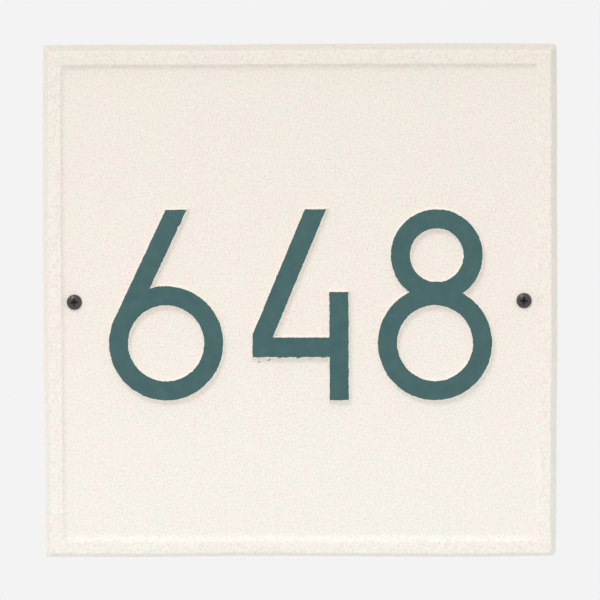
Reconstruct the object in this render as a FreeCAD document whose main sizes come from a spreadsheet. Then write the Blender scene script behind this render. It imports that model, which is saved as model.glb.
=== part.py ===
import FreeCAD, Part
import math
import os
import Sketcher

# House number plaque: one square sand casting with a raised border, a recessed panel and the raised
# digits 6, 4 and 8, an enamel coat on each digit's face, and two pan-head screws that hold it to a wall.
# Millimetres, +Z up. The plaque stands upright in the XZ plane. Its back rim lies in y = 0, against the
# wall, it faces -Y, and the origin is the middle of the back.
# Each piece is drawn lying on its back with its face up, as its mould lies, and its placement stands it up.

SIZES = (
    ("PlaqueWidth", 305.0, "outline on the wall, left to right"),
    ("PlaqueHeight", 305.0, "outline on the wall, top to bottom"),
    ("CastingDepth", 9.5, "wall to the face of the border"),
    ("EdgeDraftRun", 3.8, "how far the outer side slopes in between wall and border face"),
    ("CornerRadius", 2.4, "outer corners of the outline"),
    ("BorderWidth", 7.8, "border face, from the outer slope to the panel's slope"),
    ("RecessDepth", 1.8, "border face down to the panel"),
    ("RecessDraftRun", 2.3, "how far the panel's slope runs inwards"),
    ("RecessCornerRadius", 1.4, "corners of the panel's slope"),
    ("PanelWall", 3.5, "metal left behind the panel"),
    ("RimWidth", 8.0, "rim that lies on the wall"),
    ("CoreDraftAngle", 5.0, "draft of the hollow back's walls, degrees"),
    ("EdgeRadius", 0.5, "rounding of cast outer edges"),
    ("CoveRadius", 0.8, "fillet where a slope meets the panel"),
    ("CoreRadius", 1.2, "fillets of the hollow back"),
    ("LugWidth", 16.0, "solid lug behind each screw"),
    ("DigitRelief", 2.6, "panel up to the digits' faces"),
    ("DigitDraftAngle", 12.0, "draft of the digits' sides, degrees"),
    ("DigitEdgeChamfer", 0.3, "softened edge round the digits' faces"),
    ("DigitClearance", 15.5, "edge of a screw's head to the outer digit"),
    ("DigitDrop", 1.9, "middle of the digits under the middle of the plaque"),
    ("StrokeShare", 0.105, "stroke of a digit, as a share of the digits' height"),
    ("SixMiddleShare", -0.693, "middle of the 6's bowl, right of the plaque's middle, as a share"),
    ("SixBowlShare", 0.3, "outside radius of the 6's bowl, as a share"),
    ("SixStemLean", 25.3, "lean of the 6's stem from upright, degrees"),
    ("FourLeftShare", -0.2487, "left end of the 4's bar, right of the plaque's middle, as a share"),
    ("FourPostRightShare", 0.2611, "right side of the 4's post, as a share"),
    ("FourPostTopShare", 0.569, "foot of the 4 to the top of its post, as a share"),
    ("FourBarTopShare", 0.331, "foot of the 4 to the top of its bar, as a share"),
    ("FourBarShare", 0.108, "height of the 4's bar, as a share"),
    ("FourSlopeShare", 0.108, "sloping stroke of the 4, square to its slope, as a share"),
    ("FourSlopeLean", 22.8, "lean of the 4's sloping stroke from upright, degrees"),
    ("FourSlopeTopShare", 0.0265, "left end of the sloping stroke's top, as a share"),
    ("EightLowerMiddleShare", 0.707, "middle of the 8's lower ring, as a share"),
    ("EightUpperMiddleShare", 0.716, "middle of the 8's upper ring, as a share"),
    ("EightLowerShare", 0.301, "outside radius of the 8's lower ring, as a share"),
    ("EightWaistShare", 0.083, "how far the 8's rings run into each other, as a share"),
    ("EnamelThickness", 0.2, "brushed enamel on the digits' faces"),
    ("ScrewDiameter", 4.8, "threaded part of a screw, over its crests"),
    ("ScrewNeckDiameter", 4.2, "plain neck of a screw, inside the plate"),
    ("ScrewHoleClearance", 0.5, "how much wider the holes are than the threads"),
    ("HeadClearance", 1.1, "foot of the panel's slope to a screw's head"),
    ("ScrewLength", 38.0, "underside of the head to the point"),
    ("ScrewPointLength", 6.0, "tapered point"),
    ("HeadDiameter", 9.0, "pan head"),
    ("HeadHeight", 3.2, "pan head"),
    ("HeadDomeRadius", 9.5, "crown of the pan head"),
    ("HeadEdgeRadius", 1.7, "rounding round the crown"),
    ("CrossSpan", 5.0, "cross recess, tip to tip, at its mouth"),
    ("CrossWing", 1.15, "width of the recess's wings at its mouth"),
    ("CrossFloorSpan", 2.3, "cross recess, tip to tip, at its floor"),
    ("CrossFloorWing", 0.8, "width of the recess's wings at its floor"),
    ("CrossDepth", 2.0, "crown to the recess's floor"),
)

NEARLY = 0.01

# Places and sizes that follow from the driving ones. The row of three digits is twice as wide as it is
# tall, so the digits' height comes from the room that is left between the screws.
BACK = "0"
PANEL_FACE = "(Sizes.CastingDepth - Sizes.RecessDepth)"
DIGIT_FACE = f"({PANEL_FACE} + Sizes.DigitRelief)"
HOLLOW_DEPTH = f"({PANEL_FACE} - Sizes.PanelWall)"
OPENING_WIDTH = "(Sizes.PlaqueWidth - 2 * (Sizes.EdgeDraftRun + Sizes.BorderWidth))"
OPENING_HEIGHT = "(Sizes.PlaqueHeight - 2 * (Sizes.EdgeDraftRun + Sizes.BorderWidth))"
SCREW_X = f"({OPENING_WIDTH} / 2 - Sizes.RecessDraftRun - Sizes.HeadClearance - Sizes.HeadDiameter / 2)"
SCREW_HOLE_RADIUS = "(Sizes.ScrewDiameter + Sizes.ScrewHoleClearance) / 2"
DIGIT_HEIGHT = f"({SCREW_X} - Sizes.HeadDiameter / 2 - Sizes.DigitClearance)"
DIGIT_TOP = f"({DIGIT_HEIGHT} / 2 - Sizes.DigitDrop)"
DIGIT_FOOT = f"({DIGIT_HEIGHT} / 2 + Sizes.DigitDrop)"
STANDING = FreeCAD.Rotation(FreeCAD.Vector(1, 0, 0), 90)

document = FreeCAD.newDocument("HouseNumberPlaque")


def write_sheet():
    """Writes the driving dimensions, one a row, with an alias for each value."""
    cells = document.addObject("Spreadsheet::Sheet", "Sizes")
    for row, (alias, value, meaning) in enumerate(SIZES, start=1):
        cells.set(f"A{row}", alias)
        cells.set(f"B{row}", str(value))
        cells.set(f"C{row}", meaning)
        cells.setAlias(f"B{row}", alias)
    document.recompute()
    return cells


sheet = write_sheet()


def number(formula):
    """The value of a formula of the sheet's cells."""
    value = sheet.evalExpression(formula)
    return float(getattr(value, "Value", value))


def origin_item(body, role):
    """One of the body's own origin planes or axes."""
    return next(item for item in body.Origin.OriginFeatures if item.Role == role)


def new_sketch(body, name, level="0", plane="XY_Plane"):
    """A sketch on one of the body's planes, raised above it by a formula."""
    sketch = body.newObject("Sketcher::SketchObject", name)
    sketch.AttachmentSupport = (origin_item(body, plane), [""])
    sketch.MapMode = "FlatFace"
    sketch.setExpression("AttachmentOffset.Base.z", level)
    return sketch


def tie(sketch, *arguments):
    """Adds a constraint that has no size."""
    return sketch.addConstraint(Sketcher.Constraint(*arguments))


def dimension(sketch, name, formula, kind, *places):
    """Adds a constraint whose size is a formula of the sheet's cells, in millimetres or degrees."""
    size = number(formula)
    index = tie(sketch, kind, *places, math.radians(size) if kind == "Angle" else size)
    sketch.renameConstraint(index, name)
    sketch.setExpression("Constraints." + name, formula)


def add_lines(sketch, points):
    """Adds straight lines from point to point and joins them end to end."""
    lines = []
    for start, end in zip(points, points[1:]):
        segment = Part.LineSegment(FreeCAD.Vector(*start, 0), FreeCAD.Vector(*end, 0))
        lines.append(sketch.addGeometry(segment))
    for first, second in zip(lines, lines[1:]):
        tie(sketch, "Coincident", first, 2, second, 1)
    return lines


def add_chain(sketch, points):
    """Adds a closed chain of straight lines through the points."""
    lines = add_lines(sketch, [*points, points[0]])
    tie(sketch, "Coincident", lines[-1], 2, lines[0], 1)
    return lines


def add_circle(sketch, x, z, radius):
    """Adds a whole circle."""
    centre = FreeCAD.Vector(x, z, 0)
    return sketch.addGeometry(Part.Circle(centre, FreeCAD.Vector(0, 0, 1), radius))


def add_arc(sketch, x, z, radius, start, end):
    """Adds an arc that runs anticlockwise from one angle to another, in radians."""
    circle = Part.Circle(FreeCAD.Vector(x, z, 0), FreeCAD.Vector(0, 0, 1), radius)
    return sketch.addGeometry(Part.ArcOfCircle(circle, start, end))


def centred_rectangle(sketch, width, height):
    """Draws a rectangle about the origin, sized by two formulas."""
    half_width = number(width) / 2
    half_height = number(height) / 2
    corners = (
        (-half_width, -half_height),
        (half_width, -half_height),
        (half_width, half_height),
        (-half_width, half_height),
    )
    bottom, right, top, left = add_chain(sketch, corners)
    for line in (bottom, top):
        tie(sketch, "Horizontal", line)
    for line in (right, left):
        tie(sketch, "Vertical", line)
    tie(sketch, "Symmetric", bottom, 1, top, 1, -1, 1)
    dimension(sketch, "Width", width, "DistanceX", bottom, 1, bottom, 2)
    dimension(sketch, "Height", height, "DistanceY", right, 1, right, 2)


def add_feature(body, kind, name, profile, length, backwards=False):
    """Adds a pad or pocket of a sketch whose length is a formula."""
    feature = body.newObject("PartDesign::" + kind, name)
    feature.Profile = profile
    feature.Reversed = backwards
    feature.setExpression("Length", length)
    document.recompute()
    return feature


def spans(item, first, second):
    """Does the face or edge reach from one level to another, and no further?"""
    box = item.BoundBox
    low, high = sorted((first, second))
    return abs(box.ZMin - low) < NEARLY and abs(box.ZMax - high) < NEARLY


def is_upright(face):
    """Does the face stand square to the base plane?"""
    first_u, last_u, first_v, last_v = face.ParameterRange
    return abs(face.normalAt((first_u + last_u) / 2, (first_v + last_v) / 2).z) < NEARLY


def draft_sides(body, name, angle, still, moved, from_back=False):
    """Slopes the upright walls between two levels, for the mould. Their still level stays as it was."""
    base = body.Tip
    levels = (number(still), number(moved))
    walls = [
        f"Face{index}"
        for index, face in enumerate(base.Shape.Faces, start=1)
        if spans(face, *levels) and is_upright(face)
    ]
    plane = body.newObject("PartDesign::Plane", name + "Plane")
    plane.AttachmentSupport = (origin_item(body, "XY_Plane"), [""])
    plane.MapMode = "FlatFace"
    plane.setExpression("AttachmentOffset.Base.z", still)
    draft = body.newObject("PartDesign::Draft", name)
    draft.Base = (base, walls)
    draft.NeutralPlane = (plane, [""])
    draft.Reversed = from_back
    draft.setExpression("Angle", angle)
    document.recompute()
    return draft


def dress_edges(body, kind, name, size_name, size, wanted):
    """Fillets or chamfers the edges of the body's last feature for which a test is true."""
    base = body.Tip
    edges = [f"Edge{index}" for index, edge in enumerate(base.Shape.Edges, start=1) if wanted(edge)]
    dressed = body.newObject("PartDesign::" + kind, name)
    dressed.Base = (base, edges)
    dressed.setExpression(size_name, size)
    document.recompute()


def round_edges(body, name, radius, wanted):
    """Fillets the edges of the body's last feature for which a test is true."""
    dress_edges(body, "Fillet", name, "Radius", radius, wanted)


def share(name):
    """The formula of a digit's size, which the sheet holds as a share of the digits' height."""
    return f"(Sizes.{name}Share * {DIGIT_HEIGHT})"


def draw_six(sketch):
    """Draws the 6: a round bowl and a straight leaning stem that is tangent to it."""
    bowl_x = share("SixMiddle")
    bowl_z = f"{share('SixBowl')} - {DIGIT_FOOT}"
    x = number(bowl_x)
    z = number(bowl_z)
    radius = number(share("SixBowl"))
    lean = math.radians(number("Sizes.SixStemLean"))
    width = number(share("Stroke"))
    top = number(DIGIT_TOP)
    foot = (x - radius * math.cos(lean), z + radius * math.sin(lean))
    peak = (foot[0] + (top - foot[1]) * math.tan(lean), top)
    right_peak = (peak[0] + width / math.cos(lean), top)
    meet_angle = math.pi - lean - math.acos((radius - width) / radius)
    meet = (x + radius * math.cos(meet_angle), z + radius * math.sin(meet_angle))
    left, roof, right = add_lines(sketch, (foot, peak, right_peak, meet))
    bowl = add_arc(sketch, x, z, radius, math.pi - lean, meet_angle + 2 * math.pi)
    counter = add_circle(sketch, x, z, radius - width)
    tie(sketch, "Tangent", bowl, 1, left, 1)
    tie(sketch, "Coincident", right, 2, bowl, 2)
    tie(sketch, "Horizontal", roof)
    tie(sketch, "Parallel", left, right)
    tie(sketch, "Coincident", counter, 3, bowl, 3)
    dimension(sketch, "BowlRadius", share("SixBowl"), "Radius", bowl)
    dimension(sketch, "CounterRadius", f"{share('SixBowl')} - {share('Stroke')}", "Radius", counter)
    dimension(sketch, "BowlX", bowl_x, "DistanceX", -1, 1, bowl, 3)
    dimension(sketch, "BowlZ", bowl_z, "DistanceY", -1, 1, bowl, 3)
    dimension(sketch, "Top", DIGIT_TOP, "DistanceY", -1, 1, left, 2)
    dimension(sketch, "Slope", "90 - Sizes.SixStemLean", "Angle", left)
    dimension(sketch, "StemWidth", share("Stroke"), "Distance", roof, 2, left)


def draw_four(sketch):
    """Draws the 4: a sloping stroke, a bar and a post that starts below the top."""
    lean = math.radians(number("Sizes.FourSlopeLean"))
    top = number(DIGIT_TOP)
    bottom = -number(DIGIT_FOOT)
    left = number(share("FourLeft"))
    post_right = number(share("FourPostRight"))
    post_left = post_right - number(share("Stroke"))
    bar_top = bottom + number(share("FourBarTop"))
    bar_bottom = bar_top - number(share("FourBar"))
    post_top = bottom + number(share("FourPostTop"))
    slope_left = number(share("FourSlopeTop"))
    slope_right = slope_left + number(share("FourSlope")) / math.cos(lean)
    points = (
        (slope_left, top),
        (slope_right, top),
        (slope_right - (top - bar_top) * math.tan(lean), bar_top),
        (post_left, bar_top),
        (post_left, post_top),
        (post_right, post_top),
        (post_right, bottom),
        (post_left, bottom),
        (post_left, bar_bottom),
        (left, bar_bottom),
        (left, top - (slope_left - left) / math.tan(lean)),
    )
    lines = add_chain(sketch, points)
    roof, inner, bar_roof, post_inner, post_roof, post_outer, foot, post_lower, bar_foot, end, outer = lines
    for line in (roof, bar_roof, post_roof, foot, bar_foot):
        tie(sketch, "Horizontal", line)
    for line in (post_inner, post_outer, post_lower, end):
        tie(sketch, "Vertical", line)
    tie(sketch, "Parallel", inner, outer)
    tie(sketch, "Vertical", post_inner, 1, post_lower, 1)
    dimension(sketch, "Top", DIGIT_TOP, "DistanceY", -1, 1, roof, 1)
    dimension(sketch, "Bottom", DIGIT_FOOT, "DistanceY", foot, 1, -1, 1)
    dimension(sketch, "Left", share("FourLeft"), "DistanceX", -1, 1, end, 1)
    dimension(sketch, "PostRight", share("FourPostRight"), "DistanceX", -1, 1, post_outer, 1)
    dimension(sketch, "PostWidth", share("Stroke"), "DistanceX", post_roof, 1, post_roof, 2)
    dimension(sketch, "PostTop", share("FourPostTop"), "DistanceY", foot, 1, post_roof, 1)
    dimension(sketch, "BarTop", share("FourBarTop"), "DistanceY", foot, 1, bar_roof, 1)
    dimension(sketch, "BarHeight", share("FourBar"), "DistanceY", bar_foot, 1, bar_roof, 2)
    dimension(sketch, "Slope", "90 - Sizes.FourSlopeLean", "Angle", outer)
    dimension(sketch, "SlopeWidth", share("FourSlope"), "Distance", roof, 2, outer)
    dimension(sketch, "SlopeTop", share("FourSlopeTop"), "DistanceX", -1, 1, roof, 1)


def add_plate(body):
    """Pads the square plate with its sloping sides and rounds its four corners."""
    outline = new_sketch(body, "PlateOutline")
    centred_rectangle(outline, "Sizes.PlaqueWidth", "Sizes.PlaqueHeight")
    add_feature(body, "Pad", "Plate", outline, "Sizes.CastingDepth")
    front = number("Sizes.CastingDepth")
    slope = "atan(Sizes.EdgeDraftRun / Sizes.CastingDepth)"
    draft_sides(body, "PlateDraft", slope, BACK, "Sizes.CastingDepth")
    round_edges(body, "PlateCorners", "Sizes.CornerRadius", lambda edge: spans(edge, 0, front))


def add_panel(body):
    """Sinks the panel below the border, with a sloping wall all round."""
    front = number("Sizes.CastingDepth")
    floor = number(PANEL_FACE)
    opening = new_sketch(body, "PanelOpening", "Sizes.CastingDepth")
    centred_rectangle(opening, OPENING_WIDTH, OPENING_HEIGHT)
    add_feature(body, "Pocket", "Panel", opening, "Sizes.RecessDepth")
    slope = "atan(Sizes.RecessDraftRun / Sizes.RecessDepth)"
    draft_sides(body, "PanelDraft", slope, "Sizes.CastingDepth", PANEL_FACE)
    round_edges(
        body, "PanelCorners", "Sizes.RecessCornerRadius", lambda edge: spans(edge, front, floor)
    )
    round_edges(body, "BorderEdges", "Sizes.EdgeRadius", lambda edge: spans(edge, front, front))
    round_edges(body, "PanelCoves", "Sizes.CoveRadius", lambda edge: spans(edge, floor, floor))


def add_stroke_digit(body, digit, draw):
    """Raises a digit from the outline of its face, and slopes its sides out to its root."""
    sketch = new_sketch(body, digit + "Outline", DIGIT_FACE)
    draw(sketch)
    add_feature(body, "Pad", "Digit" + digit, sketch, "Sizes.DigitRelief", True)
    draft_sides(body, digit + "Draft", "Sizes.DigitDraftAngle", DIGIT_FACE, PANEL_FACE)


def add_cone(body, kind, name, x, y, face_radius, root_radius):
    """Adds or cuts a cone between the panel and the digits' faces, sized by formulas."""
    cone = body.newObject("PartDesign::" + kind, name)
    cone.AttachmentSupport = (origin_item(body, "XY_Plane"), [""])
    cone.MapMode = "FlatFace"
    cone.setExpression("AttachmentOffset.Base.x", x)
    cone.setExpression("AttachmentOffset.Base.y", y)
    cone.setExpression("AttachmentOffset.Base.z", PANEL_FACE)
    cone.setExpression("Radius1", root_radius)
    cone.setExpression("Radius2", face_radius)
    cone.setExpression("Height", "Sizes.DigitRelief")
    document.recompute()


def add_eight(body):
    """Raises the 8: two drafted rings, one on the other, whose outsides run into each other."""
    lower_radius = share("EightLower")
    upper_radius = f"(({DIGIT_HEIGHT} + {share('EightWaist')}) / 2 - {lower_radius})"
    lower = (share("EightLowerMiddle"), f"{lower_radius} - {DIGIT_FOOT}")
    upper = (share("EightUpperMiddle"), f"{DIGIT_TOP} - {upper_radius}")
    slope = "Sizes.DigitRelief * tan(Sizes.DigitDraftAngle)"
    rings = (("Lower", lower, lower_radius), ("Upper", upper, upper_radius))
    for name, centre, radius in rings:
        add_cone(body, "AdditiveCone", f"Eight{name}Ring", *centre, radius, f"{radius} + {slope}")
    for name, centre, radius in rings:
        counter = f"{radius} - {share('Stroke')}"
        add_cone(body, "SubtractiveCone", f"Eight{name}Counter", *centre, counter, f"{counter} - {slope}")


def add_digits(body):
    """Raises the three digits from the panel and softens the edges of their faces."""
    add_stroke_digit(body, "Six", draw_six)
    add_stroke_digit(body, "Four", draw_four)
    add_eight(body)
    face = number(DIGIT_FACE)
    chamfer = "Sizes.DigitEdgeChamfer"
    dress_edges(body, "Chamfer", "DigitEdges", "Size", chamfer, lambda edge: spans(edge, face, face))


def add_hollow(body):
    """Hollows the back inside the rim, and leaves a lug behind each screw."""
    inside = new_sketch(body, "HollowOutline")
    rim = " - 2 * Sizes.RimWidth"
    centred_rectangle(inside, "Sizes.PlaqueWidth" + rim, "Sizes.PlaqueHeight" + rim)
    add_feature(body, "Pocket", "Hollow", inside, HOLLOW_DEPTH, True)
    draft_sides(body, "HollowDraft", "Sizes.CoreDraftAngle", BACK, HOLLOW_DEPTH, True)
    outline = new_sketch(body, "LugOutline")
    outer = number("Sizes.PlaqueWidth / 2 - Sizes.RimWidth / 2")
    centre = number(SCREW_X)
    radius = number("Sizes.LugWidth / 2")
    corners = ((centre, radius), (outer, radius), (outer, -radius), (centre, -radius))
    top, side, bottom = add_lines(outline, corners)
    end = add_arc(outline, centre, 0, radius, math.pi / 2, 3 * math.pi / 2)
    tie(outline, "Tangent", top, 1, end, 1)
    tie(outline, "Tangent", bottom, 2, end, 2)
    tie(outline, "Horizontal", top)
    tie(outline, "Vertical", side)
    tie(outline, "Horizontal", bottom)
    tie(outline, "PointOnObject", end, 3, -1)
    dimension(outline, "ScrewX", SCREW_X, "DistanceX", -1, 1, end, 3)
    dimension(outline, "Radius", "Sizes.LugWidth / 2", "Radius", end)
    side_x = "Sizes.PlaqueWidth / 2 - Sizes.RimWidth / 2"
    dimension(outline, "Side", side_x, "DistanceX", -1, 1, side, 1)
    lug = add_feature(body, "Pad", "Lug", outline, HOLLOW_DEPTH)
    mirrored = body.newObject("PartDesign::Mirrored", "LugPair")
    mirrored.Originals = [lug]
    mirrored.MirrorPlane = (origin_item(body, "YZ_Plane"), [""])
    body.Tip = mirrored
    document.recompute()
    floor = number(HOLLOW_DEPTH)
    round_edges(body, "HollowCoves", "Sizes.CoreRadius", lambda edge: spans(edge, floor, floor))


def add_holes(body):
    """Drills the two screw holes right through."""
    sketch = new_sketch(body, "ScrewHoles")
    x = number(SCREW_X)
    radius = number(SCREW_HOLE_RADIUS)
    right = add_circle(sketch, x, 0, radius)
    left = add_circle(sketch, -x, 0, radius)
    tie(sketch, "PointOnObject", right, 3, -1)
    tie(sketch, "Symmetric", left, 3, right, 3, -1, 1)
    tie(sketch, "Equal", left, right)
    dimension(sketch, "ScrewX", SCREW_X, "DistanceX", -1, 1, right, 3)
    dimension(sketch, "HoleRadius", SCREW_HOLE_RADIUS, "Radius", right)
    add_feature(body, "Pocket", "Holes", sketch, "Sizes.CastingDepth", backwards=True)


def build_casting():
    """Builds the cast plate with its border, panel, digits, hollow back and screw holes."""
    body = document.addObject("PartDesign::Body", "casting")
    body.Label = "casting"
    add_plate(body)
    add_hollow(body)
    add_panel(body)
    add_digits(body)
    add_holes(body)
    body.Placement = FreeCAD.Placement(FreeCAD.Vector(), STANDING)
    return body


def build_enamel(casting):
    """Lays an enamel coat on each digit's flat face, as thick as the brush left it, from left to right."""
    level = -number(DIGIT_FACE)
    coat = FreeCAD.Vector(0, -number("Sizes.EnamelThickness"), 0)

    def is_digit_face(face):
        box = face.BoundBox
        return abs(box.YMin - level) < NEARLY and abs(box.YMax - level) < NEARLY

    faces = [face for face in casting.Shape.Faces if is_digit_face(face)]
    faces.sort(key=lambda face: face.BoundBox.Center.x)
    films = []
    for digit, face in zip(("six", "four", "eight"), faces, strict=True):
        film = document.addObject("Part::Feature", "enamel_" + digit)
        film.Label = "enamel_" + digit
        film.Shape = face.extrude(coat)
        film.Placement = FreeCAD.Placement()
        films.append(film)
    return films


def draw_screw_profile(sketch):
    """Draws half of a pan-head screw, head up, with the underside of its head at the origin."""
    head = number("Sizes.HeadDiameter / 2")
    height = number("Sizes.HeadHeight")
    neck_radius = number("Sizes.ScrewNeckDiameter / 2")
    thread = number("Sizes.ScrewDiameter / 2")
    wall = -number(PANEL_FACE)
    length = number("Sizes.ScrewLength")
    point = number("Sizes.ScrewPointLength")
    dome = number("Sizes.HeadDomeRadius")
    edge = number("Sizes.HeadEdgeRadius")
    dome_level = height - dome
    edge_x = head - edge
    edge_level = dome_level + math.sqrt((dome - edge) ** 2 - edge_x**2)
    lean = math.atan2(edge_level - dome_level, edge_x)
    crown = add_arc(sketch, 0, dome_level, dome, lean, math.pi / 2)
    shoulder = add_arc(sketch, edge_x, edge_level, edge, 0, lean)
    corners = (
        (head, edge_level),
        (head, 0),
        (neck_radius, 0),
        (neck_radius, wall),
        (thread, wall),
        (thread, point - length),
        (0, -length),
        (0, height),
    )
    side, seat, neck, step, shaft, taper, axis = add_lines(sketch, corners)
    tie(sketch, "Coincident", axis, 2, crown, 2)
    tie(sketch, "Tangent", crown, 1, shoulder, 2)
    tie(sketch, "Tangent", shoulder, 1, side, 1)
    tie(sketch, "Vertical", side)
    tie(sketch, "PointOnObject", side, 2, -1)
    tie(sketch, "PointOnObject", seat, 2, -1)
    tie(sketch, "Vertical", neck)
    tie(sketch, "Horizontal", step)
    tie(sketch, "Vertical", shaft)
    tie(sketch, "PointOnObject", axis, 1, -2)
    tie(sketch, "PointOnObject", axis, 2, -2)
    tie(sketch, "PointOnObject", crown, 3, -2)
    dimension(sketch, "Head", "Sizes.HeadDiameter / 2", "DistanceX", -1, 1, side, 2)
    dimension(sketch, "Height", "Sizes.HeadHeight", "DistanceY", -1, 1, crown, 2)
    dimension(sketch, "Neck", "Sizes.ScrewNeckDiameter / 2", "DistanceX", -1, 1, seat, 2)
    dimension(sketch, "NeckLength", PANEL_FACE, "DistanceY", neck, 2, -1, 1)
    dimension(sketch, "Thread", "Sizes.ScrewDiameter / 2", "DistanceX", -1, 1, step, 2)
    dimension(sketch, "Length", "Sizes.ScrewLength", "DistanceY", axis, 1, -1, 1)
    dimension(sketch, "Point", "Sizes.ScrewPointLength", "DistanceY", taper, 2, taper, 1)
    dimension(sketch, "Dome", "Sizes.HeadDomeRadius", "Radius", crown)
    dimension(sketch, "Edge", "Sizes.HeadEdgeRadius", "Radius", shoulder)


def draw_cross(sketch, span, wing):
    """Draws a plus sign about the origin: its span and the width of its wings are formulas."""
    tip = number(span) / 2
    side = number(wing) / 2
    points = (
        (side, tip),
        (side, side),
        (tip, side),
        (tip, -side),
        (side, -side),
        (side, -tip),
        (-side, -tip),
        (-side, -side),
        (-tip, -side),
        (-tip, side),
        (-side, side),
        (-side, tip),
    )
    lines = add_chain(sketch, points)
    for line in lines[0::2]:
        tie(sketch, "Vertical", line)
    for line in lines[1::2]:
        tie(sketch, "Horizontal", line)
    tie(sketch, "Symmetric", lines[1], 1, lines[7], 1, -1, 1)
    tie(sketch, "Symmetric", lines[4], 1, lines[10], 1, -1, 1)
    tie(sketch, "Vertical", lines[1], 1, lines[4], 1)
    tie(sketch, "Horizontal", lines[1], 1, lines[10], 1)
    dimension(sketch, "WingAcross", wing, "DistanceX", lines[10], 1, lines[1], 1)
    dimension(sketch, "WingUp", wing, "DistanceY", lines[4], 1, lines[1], 1)
    half = f"({span}) / 2"
    dimension(sketch, "Right", half, "DistanceX", -1, 1, lines[2], 1)
    dimension(sketch, "Left", half, "DistanceX", lines[8], 1, -1, 1)
    dimension(sketch, "Top", half, "DistanceY", -1, 1, lines[0], 1)
    dimension(sketch, "Bottom", half, "DistanceY", lines[5], 1, -1, 1)


def build_screw():
    """Builds one screw where the right one stands: head on the panel, shank through the plate."""
    body = document.addObject("PartDesign::Body", "screw")
    body.Label = "screw"
    profile = new_sketch(body, "ScrewProfile", plane="XZ_Plane")
    draw_screw_profile(profile)
    turned = body.newObject("PartDesign::Revolution", "ScrewTurned")
    turned.Profile = profile
    turned.ReferenceAxis = (origin_item(body, "Z_Axis"), [""])
    turned.Angle = 360
    document.recompute()
    mouth = new_sketch(body, "CrossMouth", "Sizes.HeadHeight")
    draw_cross(mouth, "Sizes.CrossSpan", "Sizes.CrossWing")
    floor = new_sketch(body, "CrossFloor", "Sizes.HeadHeight - Sizes.CrossDepth")
    draw_cross(floor, "Sizes.CrossFloorSpan", "Sizes.CrossFloorWing")
    recess = body.newObject("PartDesign::SubtractiveLoft", "CrossRecess")
    recess.Profile = mouth
    recess.Sections = [floor]
    recess.Ruled = True
    body.Placement = FreeCAD.Placement(FreeCAD.Vector(), STANDING)
    body.setExpression(".Placement.Base.x", SCREW_X)
    body.setExpression(".Placement.Base.y", "-" + PANEL_FACE)
    document.recompute()
    return body


def build_screws():
    """Groups the right screw with its mirror image on the left."""
    right = build_screw()
    left = document.addObject("Part::Mirroring", "screw_left")
    left.Source = right
    left.Normal = FreeCAD.Vector(1, 0, 0)
    pair = document.addObject("Part::Compound", "mounting_screws")
    pair.Label = "mounting_screws"
    pair.Links = [right, left]
    pair.Placement = FreeCAD.Placement()
    document.recompute()
    return pair


def check_document():
    """Stops if any object of the document failed to compute."""
    for item in document.Objects:
        bad = [state for state in item.State if state in ("Invalid", "Error")]
        if bad:
            raise RuntimeError(f"{item.Label} is in state {bad}")


def write_parts(parts):
    """Checks each sub-part's shape and writes it to parts/."""
    os.makedirs("parts", exist_ok=True)
    for part in parts:
        if part.Shape.isNull() or not part.Shape.isValid():
            raise RuntimeError(f"{part.Label} has no valid shape")
    for part in parts:
        part.Shape.exportStep(f"parts/{part.Label}.step")
        volume = part.Shape.Volume / 1000
        print(f"{part.Label}: {len(part.Shape.Solids)} solids, {volume:.2f} cm3")


casting = build_casting()
enamel = build_enamel(casting)
screws = build_screws()
document.recompute()
check_document()
write_parts([casting, *enamel, screws])
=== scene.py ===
import logging
import math
from collections.abc import Sequence
from dataclasses import dataclass
from enum import Enum

import bmesh
import bpy
import numpy as np
from mathutils import Matrix, Vector
from mathutils.geometry import delaunay_2d_cdt


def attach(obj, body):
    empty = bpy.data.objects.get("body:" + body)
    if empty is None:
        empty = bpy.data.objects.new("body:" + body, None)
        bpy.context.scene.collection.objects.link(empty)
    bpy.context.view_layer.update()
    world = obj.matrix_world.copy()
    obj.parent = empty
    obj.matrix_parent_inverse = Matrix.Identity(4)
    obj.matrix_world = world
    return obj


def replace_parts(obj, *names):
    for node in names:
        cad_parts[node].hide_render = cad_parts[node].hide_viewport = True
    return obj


# House number plaque: looks for the sand-cast plate with its cream textured paint, the hand-brushed teal
# enamel on the digits, and the two black screws. Sizes are in millimetres and become metres in meshes.
# +X is to the right as the plaque is read, +Z is up the wall, and the face looks along -Y.

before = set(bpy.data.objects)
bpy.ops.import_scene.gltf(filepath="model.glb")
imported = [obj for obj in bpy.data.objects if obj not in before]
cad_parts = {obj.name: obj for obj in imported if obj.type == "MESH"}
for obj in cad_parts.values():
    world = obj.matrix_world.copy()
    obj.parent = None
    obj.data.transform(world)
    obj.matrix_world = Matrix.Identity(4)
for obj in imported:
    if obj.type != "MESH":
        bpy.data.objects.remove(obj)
log = logging.getLogger("plaque")

Pair = tuple[float, float]
Stops = tuple[tuple[float, str], ...]

MM = 0.001
PHOTO_SIDE = 600
INSIDE_ONLY = 1
FILL_TOLERANCE = 1e-6
WELD_DISTANCE = 1e-7
# A Mix node's sockets for the share and the two values, for colours and for numbers.
COLOUR_MIX = (0, 6, 7)
NUMBER_MIX = (0, 2, 3)


class Slot(Enum):
    """The record's material slots."""

    CASTING = "coated_casting"
    ENAMEL = "digit_enamel"
    SCREW = "black_screw_steel"


class Side(Enum):
    """A side of the plaque, which has one screw."""

    LEFT = -1
    RIGHT = 1


def linear(colour: str) -> tuple[float, float, float, float]:
    """Turns an sRGB hex colour to linear light.

    Args:
        colour: Six hex digits, such as "f3f3f3".

    Returns:
        Red, green, blue and an alpha of 1.
    """
    shares = [int(colour[place : place + 2], 16) / 255 for place in (0, 2, 4)]
    light = [share / 12.92 if share <= 0.04045 else ((share + 0.055) / 1.055) ** 2.4 for share in shares]
    return (*light, 1.0)


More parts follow.
